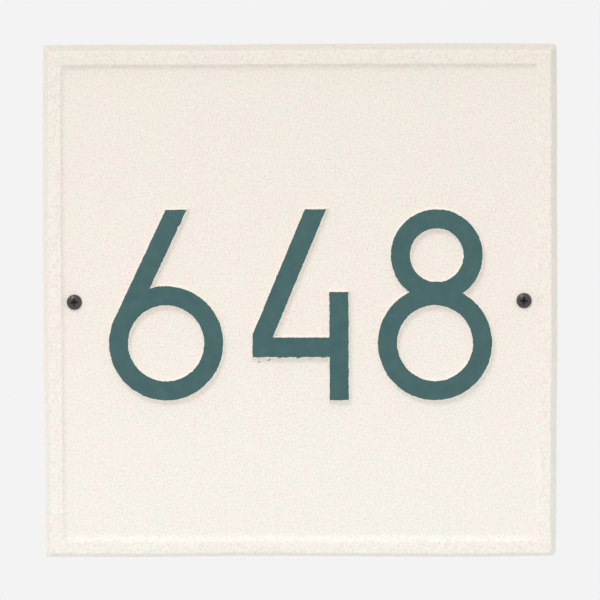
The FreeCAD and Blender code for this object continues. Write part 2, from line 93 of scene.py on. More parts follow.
def add_node(
    tree: bpy.types.NodeTree, kind: str, inputs: dict, stops: Stops = (), **options: str
) -> bpy.types.Node:
    """Adds a node, sets its options and colour stops, and fills its sockets.

    Args:
        tree: The node tree of a material or of the world.
        kind: The node's type without "ShaderNode", such as "Bump".
        inputs: Socket name or number to a value, or to an output, which is linked. A node stands for its
            first output that is in use.
        stops: Position and sRGB hex colour of each stop of a ramp, from low to high.
        options: The node's own options by name.

    Returns:
        The new node.
    """
    node = tree.nodes.new(f"ShaderNode{kind}")
    for name, value in options.items():
        setattr(node, name, value)
    if stops:
        elements = node.color_ramp.elements
        while len(elements) < len(stops):
            elements.new(0.5)
        for element, (position, colour) in zip(elements, stops, strict=True):
            element.position = position
            element.color = linear(colour)
    for name, value in inputs.items():
        if isinstance(value, bpy.types.Node):
            value = next(output for output in value.outputs if output.enabled)
        if isinstance(value, bpy.types.NodeSocket):
            tree.links.new(value, node.inputs[name])
        else:
            node.inputs[name].default_value = value
    return node


def empty_material(name: str) -> tuple[bpy.types.Material, bpy.types.NodeTree]:
    """Makes a material of that name with no nodes, and gives it and its node tree.

    Args:
        name: The material's name.

    Returns:
        The material and its node tree.
    """
    material = bpy.data.materials.new(name)
    material.use_nodes = True
    material.node_tree.nodes.clear()
    return material, material.node_tree


def put_in_scene(name: str, data: bpy.types.ID) -> bpy.types.Object:
    """Makes an object of a mesh, a lamp or a camera, and puts it in the scene.

    Args:
        name: The object's name.
        data: Its mesh, lamp or camera.

    Returns:
        The object.
    """
    thing = bpy.data.objects.new(name, data)
    bpy.context.scene.collection.objects.link(thing)
    return thing


@dataclass(frozen=True)
class Pattern:
    """Cloudy noise of one size: how wide a cloud is, how many finer octaves lie on it, and how high it
    stands as a bump, which is 0 where it only colours."""

    width_mm: float
    octaves: float
    height_mm: float = 0.0


@dataclass(frozen=True)
class Finish:
    """What each finish has: its name, its roughness and gloss, its patterns from coarse to fine, and the
    colours of its body."""

    name: str
    roughness: float
    gloss: float
    patterns: tuple[Pattern, ...]
    body: Stops

    def colour(
        self, tree: bpy.types.NodeTree, place: bpy.types.NodeSocket, clouds: list[bpy.types.Node]
    ) -> bpy.types.Node:
        """Colours the surface: the body's colours by the coarsest pattern."""
        return add_node(tree, "ValToRGB", {"Fac": clouds[0]}, self.body)

    def build(self) -> bpy.types.Material:
        """Makes the material: its patterns, its colour, and the patterns as bumps on one another.

        Returns:
            The material.
        """
        material, tree = empty_material(self.name)
        place = add_node(tree, "TexCoord", {}).outputs["Object"]
        clouds = []
        for pattern in self.patterns:
            scale = 1 / (pattern.width_mm * MM)
            noise = {"Vector": place, "Scale": scale, "Detail": pattern.octaves}
            clouds.append(add_node(tree, "TexNoise", noise))
        normal = {}
        for pattern, cloud in zip(self.patterns, clouds, strict=True):
            if pattern.height_mm:
                bump = {"Height": cloud, "Distance": pattern.height_mm * MM, "Strength": 1.0}
                normal = {"Normal": add_node(tree, "Bump", bump | normal)}
        look = {"Roughness": self.roughness, "Specular IOR Level": self.gloss}
        look["Base Color"] = self.colour(tree, place, clouds)
        shader = add_node(tree, "BsdfPrincipled", look | normal)
        add_node(tree, "OutputMaterial", {"Surface": shader})
        return material


@dataclass(frozen=True)
class TexturedPaint(Finish):
    """Cream textured paint, rolled over sand-cast aluminium. The eye gets a dead matt cream, with painted
    light that makes it a little darker and warmer towards the top and lighter towards the foot, a fine
    stippled grain of sand and paint whose pits are painted darker as painted shade, faint pink and green
    clouds, and a casting that isn't quite flat."""

    name: str = "textured_masonry_paint_on_sand_cast_aluminium"
    roughness: float = 0.82
    gloss: float = 0.3
    # The casting's swell, clouds in the paint, grit of the moulding sand, and grain of the roller.
    patterns: tuple[Pattern, ...] = (
        Pattern(34.0, 1.0, 0.5),
        Pattern(9.0, 3.0),
        Pattern(2.8, 1.0, 0.11),
        Pattern(1.1, 2.0, 0.37),
    )
    # Cream from the foot of the plaque to its top, painted lighter at the foot and darker and warmer at the
    # top: painted light.
    body: Stops = ((0.1, "faf5f0"), (0.5, "f8f0ea"), (0.88, "f3ece5"), (1.0, "f0e9e1"))
    # Grain tone with painted shade: the grain's low pits, the hollows of its bump, are painted darker.
    stipple_pit_shade: Stops = ((0.3, "ececec"), (0.5, "fafafa"), (0.68, "ffffff"))
    green_to_pink: Stops = ((0.35, "f9fbf7"), (0.65, "fdf9f8"))
    straw_to_rosy: Stops = ((0.35, "fefffd"), (0.65, "fffefe"))
    half_height: float = 152.5

    def colour(
        self, tree: bpy.types.NodeTree, place: bpy.types.NodeSocket, clouds: list[bpy.types.Node]
    ) -> bpy.types.Node:
        """Colours the surface: the body by height, which is painted light, times the grain's tone with
        painted shade in its pits, times the clouds, times a broad tint.

        Args:
            tree: The material's node tree.
            place: Object coordinates.
            clouds: The node of each pattern.

        Returns:
            The node that gives the colour.
        """
        half = self.half_height * MM
        up = add_node(tree, "SeparateXYZ", {"Vector": place}).outputs["Z"]
        share = add_node(tree, "MapRange", {"Value": up, "From Min": -half, "From Max": half})
        # Painted light: lighter at the foot, darker and warmer towards the top.
        colour = add_node(tree, "ValToRGB", {"Fac": share}, self.body)
        swell, cloud, _, grain = clouds
        for noise, stops in (
            # The grain's dark pits here are painted shade.
            (grain, self.stipple_pit_shade),
            (cloud, self.green_to_pink),
            (swell, self.straw_to_rosy),
        ):
            tint = add_node(tree, "ValToRGB", {"Fac": noise}, stops)
            mixed = dict(zip(COLOUR_MIX, (1.0, colour, tint)))
            colour = add_node(tree, "Mix", mixed, data_type="RGBA", blend_type="MULTIPLY")
        return colour


@dataclass(frozen=True)
class BrushedEnamel(Finish):
    """Alkyd enamel, brushed on by hand. The eye gets an even dark teal with a soft eggshell sheen, faint
    brush marks and the sand casting's texture filled in under it."""

    name: str = "brushed_alkyd_enamel"
    roughness: float = 0.55
    gloss: float = 0.25
    # Thick and thin patches, and brush marks.
    patterns: tuple[Pattern, ...] = (Pattern(6.0, 2.0, 0.06), Pattern(1.4, 2.0, 0.12))
    body: Stops = ((0.3, "3e5e5f"), (0.75, "446565"))


@dataclass(frozen=True)
class BlackedSteel(Finish):
    """Blacked and oiled steel. The eye gets near black with faint flecks and a small soft glint."""

    name: str = "blacked_screw_steel"
    roughness: float = 0.35
    gloss: float = 0.78
    patterns: tuple[Pattern, ...] = (Pattern(0.8, 2.0, 0.02),)
    body: Stops = ((0.4, "251e1f"), (0.75, "3c3536"))


@dataclass(frozen=True)
class Line:
    """A straight stretch of an outline."""

    start: Pair
    end: Pair

    @property
    def length(self) -> float:
        """Its length."""
        return math.dist(self.start, self.end)

    def points(self, share: np.ndarray) -> np.ndarray:
        """Points at these shares of its length: the start plus the share times the whole step."""
        start, end = np.array(self.start), np.array(self.end)
        return start + (end - start) * share[:, None]

    def headings(self, share: np.ndarray) -> np.ndarray:
        """The line's direction, the same at each share."""
        way = (np.array(self.end) - np.array(self.start)) / self.length
        return np.repeat(way[None, :], len(share), axis=0)


@dataclass(frozen=True)
class Arc:
    """A round stretch of an outline, from one angle to another in radians."""

    centre: Pair
    radius: float
    first: float
    last: float

    @property
    def length(self) -> float:
        """Its length."""
        return abs(self.last - self.first) * self.radius

    def angles(self, share: np.ndarray) -> np.ndarray:
        """The angle at each share."""
        return self.first + (self.last - self.first) * share

    def points(self, share: np.ndarray) -> np.ndarray:
        """Points at these shares: the centre plus the radius times cosine and sine."""
        angle = self.angles(share)
        return np.array(self.centre) + self.radius * np.stack([np.cos(angle), np.sin(angle)], axis=1)

    def headings(self, share: np.ndarray) -> np.ndarray:
        """The arc's direction at each share: minus sine and cosine, turned round on a clockwise arc."""
        angle = self.angles(share)
        return math.copysign(1, self.last - self.first) * np.stack([-np.sin(angle), np.cos(angle)], axis=1)


def right_of(heading: np.ndarray) -> np.ndarray:
    """Directions turned a quarter to the right, which is outwards on an outline."""
    return np.stack([heading[..., 1], -heading[..., 0]], axis=-1)


@dataclass(frozen=True)
class Outline:
    """A closed outline whose inside lies to the left of its direction."""

    stretches: tuple[Line | Arc, ...]

    @classmethod
    def through(cls, corners: Sequence[Pair]) -> "Outline":
        """The outline of straight lines through these corners."""
        return cls(tuple(Line(*ends) for ends in zip(corners, [*corners[1:], corners[0]])))

    @classmethod
    def counter(cls, centre: Pair, radius: float) -> "Outline":
        """The outline of a round hole: a circle that is drawn clockwise."""
        return cls((Arc(centre, radius, 2 * math.pi, 0),))

    def sample(self, step: float) -> tuple[np.ndarray, np.ndarray]:
        """Works out points round the outline, and the way out at each.

        At a corner the way out is the sum of both normals over one plus their dot product, so that an
        offset stays parallel to both sides. Along a stretch it is the normal plus a part along the
        stretch, which changes evenly from one corner's to the next, so that offset lines never cross.

        Args:
            step: Greatest distance between points.

        Returns:
            The points' x and z, and the ways out, which are longer than 1 at a corner.
        """
        ends = np.array([0.0, 1.0])
        headings = np.array([stretch.headings(ends) for stretch in self.stretches])
        normals = right_of(headings)
        before, after = np.roll(normals[:, 1], 1, axis=0), normals[:, 0]
        corner = (before + after) / (1 + (before * after).sum(axis=1, keepdims=True))
        slide_first = (corner * headings[:, 0]).sum(axis=1)
        slide_last = (np.roll(corner, -1, axis=0) * headings[:, 1]).sum(axis=1)
        points, ways = [], []
        for stretch, first, last in zip(self.stretches, slide_first, slide_last, strict=True):
            count = max(2, math.ceil(stretch.length / step))
            share = np.arange(count) / count
            heading = stretch.headings(share)
            points.append(stretch.points(share))
            ways.append(right_of(heading) + heading * (first + (last - first) * share)[:, None])
        return np.concatenate(points), np.concatenate(ways)


def wavering(count: int, step: float, wave: float, seed: int) -> np.ndarray:
    """Makes a smooth random line that closes on itself.

    Random numbers are blurred by a bell curve, through their Fourier series, and scaled to a spread of 1.

    Args:
        count: How many values.
        step: Distance from one to the next.
        wave: About how long a wave is.
        seed: Picks the line.

    Returns:
        The values, about 0 on average.
    """
    rough = np.random.default_rng(seed).standard_normal(count)
    cycles = np.fft.rfftfreq(count, step)
    smooth = np.fft.irfft(np.fft.rfft(rough) * np.exp(-((cycles * wave) ** 2)), count)
    smooth -= smooth.mean()
    return smooth / smooth.std()


@dataclass(frozen=True)
class Unevenness:
    """How a length wavers along an outline: its spread as a share, about how long a wave is, and the
    least and most that the length may be."""

    spread: float
    wave: float
    least: float
    most: float

    def of(self, length: float, count: int, step: float, seed: int) -> np.ndarray:
        """The length times one plus the spread times a wavering line, held between least and most."""
        uneven = length * (1 + self.spread * wavering(count, step, self.wave, seed))
        return uneven.clip(self.least, self.most)


def smoothstep(value: np.ndarray) -> np.ndarray:
    """Eases from 0 to 1: three times the square less twice the cube, held outside 0 to 1."""
    share = np.clip(value, 0, 1)
    return share * share * (3 - 2 * share)


def soften(corners: np.ndarray, trims: np.ndarray, parts: int = 6) -> np.ndarray:
    """Draws a section through corners, each of which is rounded.

    Round a corner the section is a curve from a point that far before it to a point that far after it:
    the two ends and the corner, weighted by (1 - t) squared, t squared and twice t times (1 - t).

    Args:
        corners: The section's corners, as pairs of numbers, for each column.
        trims: How far before and after each inner corner its curve reaches, for each column.
        parts: Points on each curve.

    Returns:
        The section's points by row, column and pair.
    """
    steps = np.diff(corners, axis=0)
    steps /= np.linalg.norm(steps, axis=-1, keepdims=True)
    t = np.linspace(0, 1, parts)[:, None, None]
    rows = [corners[:1]]
    for corner, back, on, trim in zip(corners[1:-1], -steps[:-1], steps[1:], trims, strict=True):
        start = corner + back * trim[:, None]
        end = corner + on * trim[:, None]
        rows.append((1 - t) ** 2 * start + 2 * t * (1 - t) * corner + t**2 * end)
    rows.append(corners[-1:])
    return np.concatenate(rows)


def same_for(columns: int, corners: Sequence[Pair]) -> np.ndarray:
    """Repeats a section's corners for each column."""
    return np.repeat(np.array(corners)[:, None], columns, axis=1)


def carried(points: np.ndarray, way: np.ndarray, out: np.ndarray, y: np.ndarray) -> np.ndarray:
    """Each point plus its way out times how far out, and y beside them: x, y, z by row and point."""
    return np.stack([points[:, 0] + out * way[:, 0], y, points[:, 1] + out * way[:, 1]], axis=-1)


def turned_round(middle: Pair, radius: np.ndarray, angle: np.ndarray, y: np.ndarray) -> np.ndarray:
    """Turns a section round an axis along Y: the middle plus the radius times cosine and sine.

    Args:
        middle: x and z of the axis.
        radius: Distance from the axis.
        angle: Angles round it.
        y: Distance along Y.

    Returns:
        x, y and z by row and angle.
    """
    x = middle[0] + radius * np.cos(angle)
    z = middle[1] + radius * np.sin(angle)
    return np.stack(np.broadcast_arrays(x, y, z), axis=-1)


def grid_quads(rows: int, columns: int) -> np.ndarray:
    """Numbers the quads of a grid of points, stored row by row, whose rows close on themselves.

    Args:
        rows: Rows of points.
        columns: Points in a row.

    Returns:
        Four point numbers for each quad.
    """
    row, column = np.arange(rows - 1)[:, None] * columns, np.arange(columns)[None, :]
    after = (column + 1) % columns
    corners = (row + column, row + columns + column, row + columns + after, row + after)
    return np.stack(np.broadcast_arrays(*corners), axis=-1).reshape(-1, 4)


def is_inside(places: np.ndarray, loop: np.ndarray) -> np.ndarray:
    """Tells which places lie inside a closed loop.

    A place is inside where a level line from it to the right crosses the loop an odd number of times.

    Args:
        places: x and z of each place.
        loop: x and z of each point of the loop.

    Returns:
        True or False for each place.
    """
    start, end = loop, np.roll(loop, -1, axis=0)
    x, z = places[:, 0, None], places[:, 1, None]
    spans = (start[:, 1] > z) != (end[:, 1] > z)
    rise = np.where(end[:, 1] == start[:, 1], 1.0, end[:, 1] - start[:, 1])
    crossing = start[:, 0] + (z - start[:, 1]) * (end[:, 0] - start[:, 0]) / rise
    return (spans & (x < crossing)).sum(axis=1) % 2 == 1


class Surface:
    """Gathers the points and faces of one piece, in millimetres, and makes the piece from them."""

    def __init__(self) -> None:
        """Starts with nothing."""
        self.points = np.zeros((0, 3))
        self.faces: list[list[int]] = []

    def add_grid(self, grid: np.ndarray) -> np.ndarray:
        """Adds a grid of points whose rows close on themselves.

        Args:
            grid: x, y and z of each point of each row.

        Returns:
            The points' numbers, row by row.
        """
        rows, columns = grid.shape[:2]
        first = len(self.points)
        self.points = np.concatenate([self.points, grid.reshape(-1, 3)])
        self.faces.extend((grid_quads(rows, columns) + first).tolist())
        return first + np.arange(rows * columns).reshape(rows, columns)

    def fill(self, outer: np.ndarray, holes: Sequence[np.ndarray] = ()) -> None:
        """Fills the flat area inside a loop, but not inside its holes, with triangles.

        Args:
            outer: Point numbers round the area.
            holes: Point numbers round each hole.
        """
        loops = (outer, *holes)
        numbers = np.concatenate(loops)
        lengths = [len(loop) for loop in loops]
        starts = np.cumsum([0] + lengths[:-1])
        edges = [
            start + np.stack([np.arange(length), np.roll(np.arange(length), -1)], axis=1)
            for start, length in zip(starts, lengths, strict=True)
        ]
        flat = self.points[numbers][:, [0, 2]]
        filled = delaunay_2d_cdt(
            flat.tolist(), np.concatenate(edges).tolist(), [], INSIDE_ONLY, FILL_TOLERANCE
        )
        triangles = np.array(filled[2])
        middles = flat[triangles].mean(axis=1)
        keep = np.ones(len(triangles), dtype=bool)
        for hole in holes:
            keep &= ~is_inside(middles, self.points[hole][:, [0, 2]])
        self.faces.extend(numbers[triangles[keep]].tolist())

    def make(
        self, name: str, material: bpy.types.Material, smooth_angle: float = 40.0
    ) -> bpy.types.Object:
        """Makes the piece, with its faces turned outwards.

        Args:
            name: The piece's name.
            material: Its finish.
            smooth_angle: Edges sharper than so many degrees stay sharp.

        Returns:
            The piece, riding on the plaque's only body.
        """
        mesh = bpy.data.meshes.new(name)
        mesh.from_pydata((self.points * MM).tolist(), [], self.faces)
        work = bmesh.new()
        work.from_mesh(mesh)
        bmesh.ops.remove_doubles(work, verts=work.verts, dist=WELD_DISTANCE)
        bmesh.ops.recalc_face_normals(work, faces=work.faces)
        work.to_mesh(mesh)
        work.free()
        mesh.materials.append(material)
        mesh.shade_smooth()
        mesh.set_sharp_from_angle(angle=math.radians(smooth_angle))
        piece = put_in_scene(name, mesh)
        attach(piece, "root")
        log.info("%s: %d faces", name, len(mesh.polygons))
        return piece


@dataclass(frozen=True)
class Spot:
    """A small round place, from the plaque's middle, where the brush strayed on a digit's edge or where a
    drop fell. Its reach is how far the coat strays there, or how high the drop stands."""

    x: float
    z: float
    width: float
    reach: float


@dataclass
class Digits:
    """The raised digits 6, 4 and 8 of the casting, as outlines of their faces. Lengths are shares of the
    digits' height where they end in share. Round digits overshoot the line that flat ones stand on. The
    rises and the growth say how much longer the flat ends came out than drawn."""

    height: float = 113.0
    drop: float = 1.9
    relief: float = 2.6
    draft: float = math.radians(12)
    chamfer: float = 0.3
    stroke_share: float = 0.105
    six_middle_share: float = -0.699
    six_bowl_share: float = 0.302
    six_lean: float = math.radians(25.3)
    four_left_share: float = -0.2487
    four_right_share: float = 0.2595
    four_post_share: float = 0.569
    four_bar_top_share: float = 0.3323
    four_bar_share: float = 0.108
    four_slope_share: float = 0.108
    four_lean: float = math.radians(22.8)
    four_peak_share: float = 0.0265
    eight_lower_middle_share: float = 0.709
    eight_upper_middle_share: float = 0.719
    eight_lower_share: float = 0.301
    eight_waist_share: float = 0.0875
    overshoot: float = 0.22
    six_rise: float = 0.31
    four_rise: float = 0.42
    post_growth: float = 0.2

    @property
    def top(self) -> float:
        """Height of the digits' tops over the middle of the plaque."""
        return self.height / 2 - self.drop

    @property
    def foot(self) -> float:
        """Height of the digits' feet, which is below the middle."""
        return -self.height / 2 - self.drop

    @property
    def stroke(self) -> float:
        """Width of a stroke."""
        return self.stroke_share * self.height

    def six(self) -> tuple[Outline, ...]:
        """The 6: bowl, leaning stem that is tangent to it, and counter.

        Returns:
            The edge and the counter.
        """
        radius = self.six_bowl_share * self.height
        x, z = self.six_middle_share * self.height, self.foot - self.overshoot + radius
        left_angle = math.pi - self.six_lean
        left = (x + radius * math.cos(left_angle), z + radius * math.sin(left_angle))
        top = self.top + self.six_rise
        peak_x = left[0] + (top - left[1]) * math.tan(self.six_lean)
        peak, right_peak = (peak_x, top), (peak_x + self.stroke / math.cos(self.six_lean), top)
        meet_angle = left_angle - math.acos((radius - self.stroke) / radius)
        meet = (x + radius * math.cos(meet_angle), z + radius * math.sin(meet_angle))
        bowl = Arc((x, z), radius, left_angle, meet_angle + 2 * math.pi)
        edge = Outline((bowl, Line(meet, right_peak), Line(right_peak, peak), Line(peak, left)))
        return edge, Outline.counter((x, z), radius - self.stroke)

    def four(self) -> tuple[Outline, ...]:
        """The 4: sloping stroke, bar, and a post that starts below the top.

        Returns:
            Its only outline.
        """
        left, right = self.four_left_share * self.height, self.four_right_share * self.height
        post_left = right - self.stroke
        bar_top = self.foot + self.four_bar_top_share * self.height
        bar_foot = bar_top - self.four_bar_share * self.height
        post_top = self.foot + self.four_post_share * self.height + self.post_growth
        post_foot = self.foot - self.post_growth
        top = self.top + self.four_rise
        lean = math.tan(self.four_lean)
        peak = self.four_peak_share * self.height + self.four_rise * lean
        right_peak = peak + self.four_slope_share * self.height / math.cos(self.four_lean)
        corners = (
            (left, top - (peak - left) / lean),
            (left, bar_foot),
            (post_left, bar_foot),
            (post_left, post_foot),
            (right, post_foot),
            (right, post_top),
            (post_left, post_top),
            (post_left, bar_top),
            (right_peak - (top - bar_top) * lean, bar_top),
            (right_peak, top),
            (peak, top),
        )
        return (Outline.through(corners),)

    def eight(self) -> tuple[Outline, ...]:
        """The 8: two rings that run into each other at the waist, and their counters.

        Returns:
            The edge and both counters.
        """
        low_radius = self.eight_lower_share * self.height
        high_radius = (1 + self.eight_waist_share) * self.height / 2 - low_radius
        low = (self.eight_lower_middle_share * self.height, self.foot - self.overshoot + low_radius)
        high = (self.eight_upper_middle_share * self.height, self.top + self.overshoot - high_radius)
        apart = math.dist(low, high)
        climb = math.atan2(high[1] - low[1], high[0] - low[0])
        low_half = math.acos((low_radius**2 - high_radius**2 + apart**2) / (2 * low_radius * apart))
        high_half = math.acos((high_radius**2 - low_radius**2 + apart**2) / (2 * high_radius * apart))
        low_ring = Arc(low, low_radius, climb + low_half, climb - low_half + 2 * math.pi)
        high_ring = Arc(high, high_radius, climb + math.pi + high_half, climb + 3 * math.pi - high_half)
        low_counter = Outline.counter(low, low_radius - self.stroke)
        return Outline((low_ring, high_ring)), low_counter, Outline.counter(high, high_radius - self.stroke)


@dataclass
class EnamelCoat:
    """The enamel on one digit's face. It covers the face and wraps its softened edge, and its own ragged
    edge runs a little down the side in some places and stops short in others."""

    node: str
    outlines: tuple[Outline, ...]
    digits: Digits
    face_y: float
    seed: int
    spots: tuple[Spot, ...] = ()
    drops: tuple[Spot, ...] = ()
    panel_y: float = -7.7
    thickness: float = 0.16
    sink: float = 0.015
    underside: float = 0.05
    step: float = 0.4
    inset: float = 1.1
    least_cover: float = 0.35
    rows: int = 14
    row_bunching: float = 0.7
    feather: float = 0.22
    mean_reach: float = -0.23
    ragged: float = 0.09
    wandering: float = 0.05
    ragged_wave: float = 1.1
    wandering_wave: float = 6.0
    wandering_seed: int = 50
    section_end: float = 20.0
    corner_out: float = -0.12
    corner_down: float = 0.3
    drop_parts: int = 16
    drop_radii: tuple[float, ...] = (0.0, 0.4, 0.75, 1.0, 0.0)
    drop_heights: tuple[float, ...] = (1.0, 0.85, 0.5, 0.0, -0.3)
    drop_ragged: float = 0.2
    drop_wave: float = 4.0

    def straying(self, points: np.ndarray) -> np.ndarray:
        """How much the coat strays at each point: the sum of a bell curve round each spot.

        Args:
            points: x and z of each.

        Returns:
            How much at each point.
        """
        total = np.zeros(len(points))
        for spot in self.spots:
            far = np.hypot(points[:, 0] - spot.x, points[:, 1] - spot.z)
            total += spot.reach * np.exp(-((far / spot.width) ** 2))
        return total

    def reach(self, points: np.ndarray, turn: int) -> np.ndarray:
        """How far the coat's edge lies past the face's corner, along the section: the mean, plus a fine
        and a slow wavering line, plus the straying.

        Args:
            points: x and z of each.
            turn: Which of the digit's outlines it is.

        Returns:
            How far at each point.
        """
        count = len(points)
        fine = wavering(count, self.step, self.ragged_wave, self.seed + turn)
        slow = wavering(count, self.step, self.wandering_wave, self.seed + turn + self.wandering_seed)
        total = self.mean_reach + self.ragged * fine + self.wandering * slow + self.straying(points)
        return np.maximum(total, self.least_cover - self.inset)

    def section(self, along: np.ndarray) -> tuple[np.ndarray, np.ndarray, np.ndarray]:
        """The digit's own edge in section: flat face, softened corner, drafted side.

        Args:
            along: Distance past the sharp corner, measured along the surface.

        Returns:
            How far out, how far down, and the angle that the surface has turned, in radians.
        """
        soft, draft, end = self.digits.chamfer, self.digits.draft, self.section_end
        places = np.array([-end, -soft, 0.0, soft, end])
        outs = np.array(
            [-end, -soft, self.corner_out * soft, soft * math.sin(draft), end * math.sin(draft)]
        )
        downs = np.array([0.0, 0.0, self.corner_down * soft, soft * math.cos(draft), end * math.cos(draft)])
        turned = (math.pi / 2 - draft) * smoothstep((along + soft) / (2 * soft))
        return np.interp(along, places, outs), np.interp(along, places, downs), turned

    def strip(self, outline: Outline, turn: int) -> np.ndarray:
        """The coat along one outline, from well inside the face to its ragged edge and back under itself.

        Across, each row lies on the digit's section, raised along the section's normal by the thickness,
        which fades to nothing at the ragged edge. Where the coat strays outwards it also hangs as a bead,
        thicker by as much. The last row closes the underside, inside the metal.

        Args:
            outline: The edge of the face or of a counter.
            turn: Which of the digit's outlines it is.

        Returns:
            x, y and z by row and point.
        """
        points, way = outline.sample(self.step)
        edge = self.reach(points, turn)[None, :]
        share = np.linspace(0, 1, self.rows)[:, None] ** self.row_bunching
        along = -self.inset + (edge + self.inset) * share
        out, down, turned = self.section(along)
        bead = self.straying(points).clip(0, None) * np.sin(turned)
        coat = (self.thickness + bead) * smoothstep((edge - along) / self.feather) - self.sink
        out = np.vstack([out + coat * np.sin(turned), np.full((1, len(points)), -self.inset)])
        down = np.vstack([down - coat * np.cos(turned), np.full((1, len(points)), self.underside)])
        return carried(points, way, out, self.face_y + down)

    def drop_rows(self, drop: Spot) -> np.ndarray:
        """A drop of enamel that fell on the panel: a low dome, closed underneath, whose rim wavers.

        Args:
            drop: Where it fell, and how wide and high it is.

        Returns:
            x, y and z by row and angle.
        """
        angle = np.linspace(0, 2 * math.pi, self.drop_parts, endpoint=False)[None, :]
        rim = 1 + self.drop_ragged * wavering(self.drop_parts, 1.0, self.drop_wave, self.seed)[None, :]
        radius = drop.width * np.array(self.drop_radii)[:, None] * rim
        height = drop.reach * np.array(self.drop_heights)[:, None]
        return turned_round((drop.x, drop.z), radius, angle, self.panel_y - height)

    def build(self, material: bpy.types.Material) -> bpy.types.Object:
        """Makes the coat: a strip along each outline, the flat top and underside filled between, and the
        drops that fell beside it.

        Args:
            material: The enamel.

        Returns:
            The piece.
        """
        surface = Surface()
        for drop in self.drops:
            surface.add_grid(self.drop_rows(drop))
        strips = [
            surface.add_grid(self.strip(outline, turn)) for turn, outline in enumerate(self.outlines)
        ]
        for row in (0, -1):
            outer, *holes = [strip[row] for strip in strips]
            surface.fill(outer, holes)
        piece = surface.make(f"{self.node}_coat", material)
        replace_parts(piece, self.node)
        return piece


